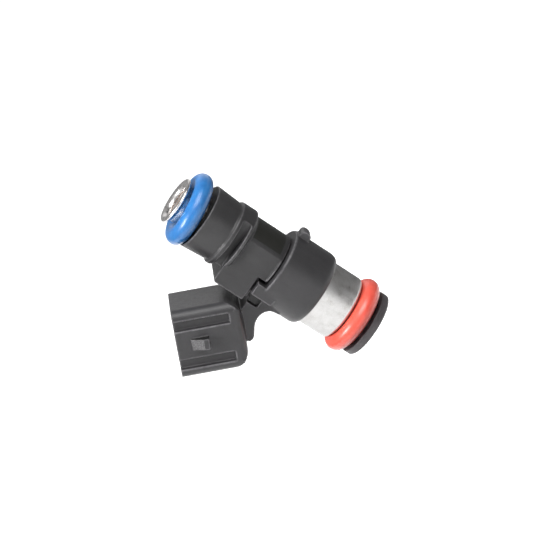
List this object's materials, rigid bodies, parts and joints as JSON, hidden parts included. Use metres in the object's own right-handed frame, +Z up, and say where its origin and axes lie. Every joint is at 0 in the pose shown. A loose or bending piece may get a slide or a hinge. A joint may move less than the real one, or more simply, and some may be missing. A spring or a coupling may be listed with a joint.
{
  "type": "fuel injector",
  "caption": "Short port fuel injector: steel valve in black plastic covers, an O-ring at each end, an angled two-way socket and a solenoid valve that lifts off its seat.",
  "frame": {"origin": "centre of the nozzle face, at the middle of the spray outlet's mouth", "axes": "+Z up the injector's axis to the fuel inlet; the electrical socket reaches out along -X and up at 45 degrees; the latch nib faces -Y"},
  "size_m": [0.0357, 0.0155, 0.0449],
  "materials": {
    "polished_steel": "polished stainless steel",
    "brushed_steel": "satin turned stainless steel",
    "filter_plastic": "moulded tan nylon",
    "filter_gauze": "woven nylon gauze",
    "blue_rubber": "smooth moulded rubber",
    "red_rubber": "smooth moulded rubber",
    "black_plastic": "glass-filled nylon, fine satin",
    "black_plastic_socket": "glass-filled nylon, fine satin",
    "tip_plastic": "moulded nylon, satin",
    "bobbin_plastic": "moulded nylon",
    "enamelled_wire": "enamelled copper wire",
    "tinned_brass": "tinned brass strip",
    "soft_iron": "machined magnetic stainless steel",
    "spring_steel": "drawn spring wire",
    "ball_steel": "lapped bearing ball"
  },
  "bodies": {
    "injector": {"inlet_tube": "polished_steel", "filter_frame": "filter_plastic", "filter_mesh": "filter_gauze", "upper_o_ring": "blue_rubber", "upper_cover": "black_plastic", "coil_cover": "black_plastic_socket", "steel_housing": "brushed_steel", "flux_washer": "soft_iron", "coil_bobbin": "bobbin_plastic", "coil_winding": "enamelled_wire", "terminal_upper": "tinned_brass", "terminal_lower": "tinned_brass", "pole_piece": "soft_iron", "calibration_sleeve": "polished_steel", "return_spring": "spring_steel", "guide_disc": "polished_steel", "valve_seat": "polished_steel", "director_plate": "polished_steel", "valve_body": "brushed_steel", "nonmagnetic_sleeve": "polished_steel", "lower_o_ring": "red_rubber", "tip_retainer": "tip_plastic"},
    "valve": {"armature": "soft_iron", "valve_stem": "polished_steel", "valve_ball": "ball_steel"}
  },
  "joints": [
    {"name": "valve_lift", "type": "slide", "parent": "injector", "child": "valve", "axis": [0, 0, 1], "range_m": [0, 0.0001], "stiffness_N_per_m": 800, "springref_m": -0.003, "deforming": ["return_spring"]}
  ]
}
